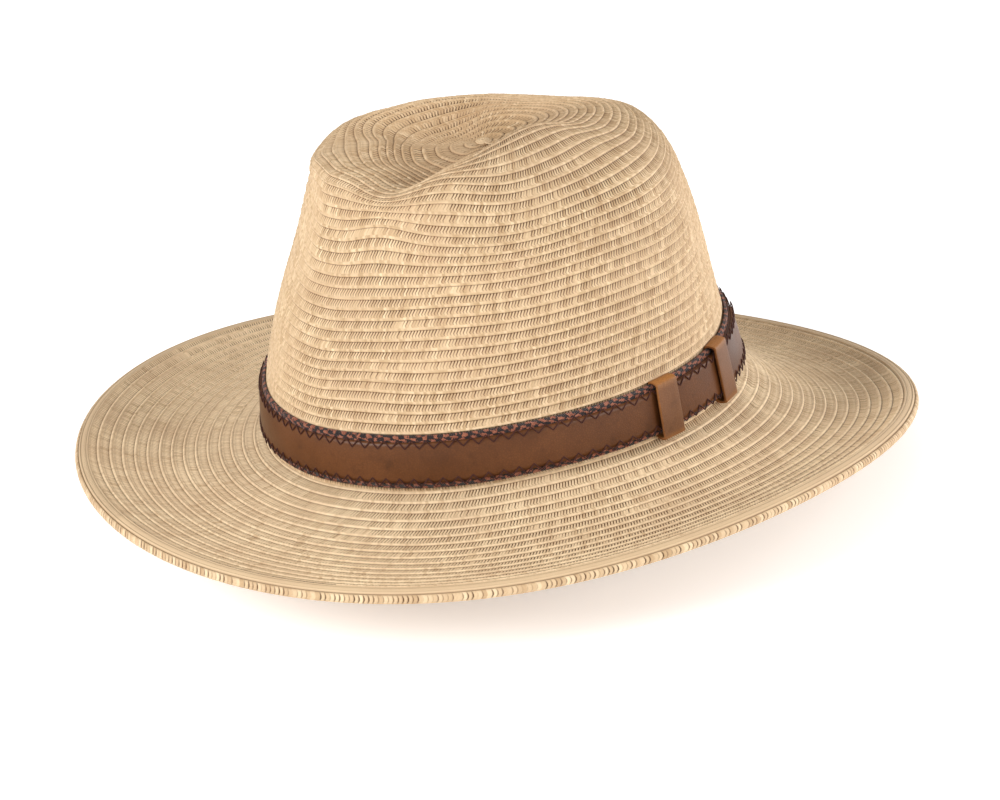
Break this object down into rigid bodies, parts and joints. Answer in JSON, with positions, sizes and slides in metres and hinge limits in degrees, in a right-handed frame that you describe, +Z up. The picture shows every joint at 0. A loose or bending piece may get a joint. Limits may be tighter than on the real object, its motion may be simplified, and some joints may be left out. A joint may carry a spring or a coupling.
{
  "type": "pinch-front straw fedora hat",
  "caption": "Straw fedora in sewn spiral braid with a pinched teardrop crown, a wide shaped brim and a brown leather band with zigzag stitching and keeper loops.",
  "frame": {"origin": "centre of the head opening, where the crown meets the brim", "axes": "+Z up towards the crown, -Y towards the front of the hat, +X towards the wearer's left"},
  "size_m": [0.3194, 0.3644, 0.1634],
  "materials": {
    "straw": "satin",
    "trim": "matte",
    "leather": "satin",
    "loop_leather": "matte",
    "thread": "matte",
    "sweatband_cloth": "matte",
    "label_cloth": "satin",
    "fastener_nylon": "matte",
    "wire": "satin",
    "ferrule": "satin"
  },
  "bodies": {
    "hat": {"crown": "straw", "crown_button": "straw", "brim": "straw", "brim_edge_braid": "straw", "brim_wire": "wire", "wire_ferrule": "ferrule", "sweatband": "sweatband_cloth", "sweatband_stitching": "thread", "sweatband_seam_tape": "sweatband_cloth", "care_label": "label_cloth", "loop_pad": "fastener_nylon", "band_trim": "trim", "band_leather": "leather", "band_tongue": "leather", "zigzag_thread_upper": "thread", "zigzag_thread_lower": "thread", "band_tacks": "thread"},
    "front_loop": {"keeper_loop_front": "loop_leather"},
    "rear_loop": {"keeper_loop_rear": "loop_leather"},
    "size_adjuster": {"size_strap": "sweatband_cloth", "hook_pad": "fastener_nylon"}
  },
  "joints": [
    {"name": "front_loop_travel", "type": "hinge", "parent": "hat", "child": "front_loop", "pos_m": [-0.0345, 0.0004, 0.01], "axis": [0, 0, 1], "range_deg": [-2.3, 2.3]},
    {"name": "rear_loop_travel", "type": "hinge", "parent": "hat", "child": "rear_loop", "pos_m": [-0.0192, 0.0069, 0.01], "axis": [0, 0, 1], "range_deg": [-2.7, 2.7]},
    {"name": "size_strap_travel", "type": "hinge", "parent": "hat", "child": "size_adjuster", "pos_m": [0, 0.0313, 0.01], "axis": [0, 0, 1], "range_deg": [-7, 7]}
  ]
}
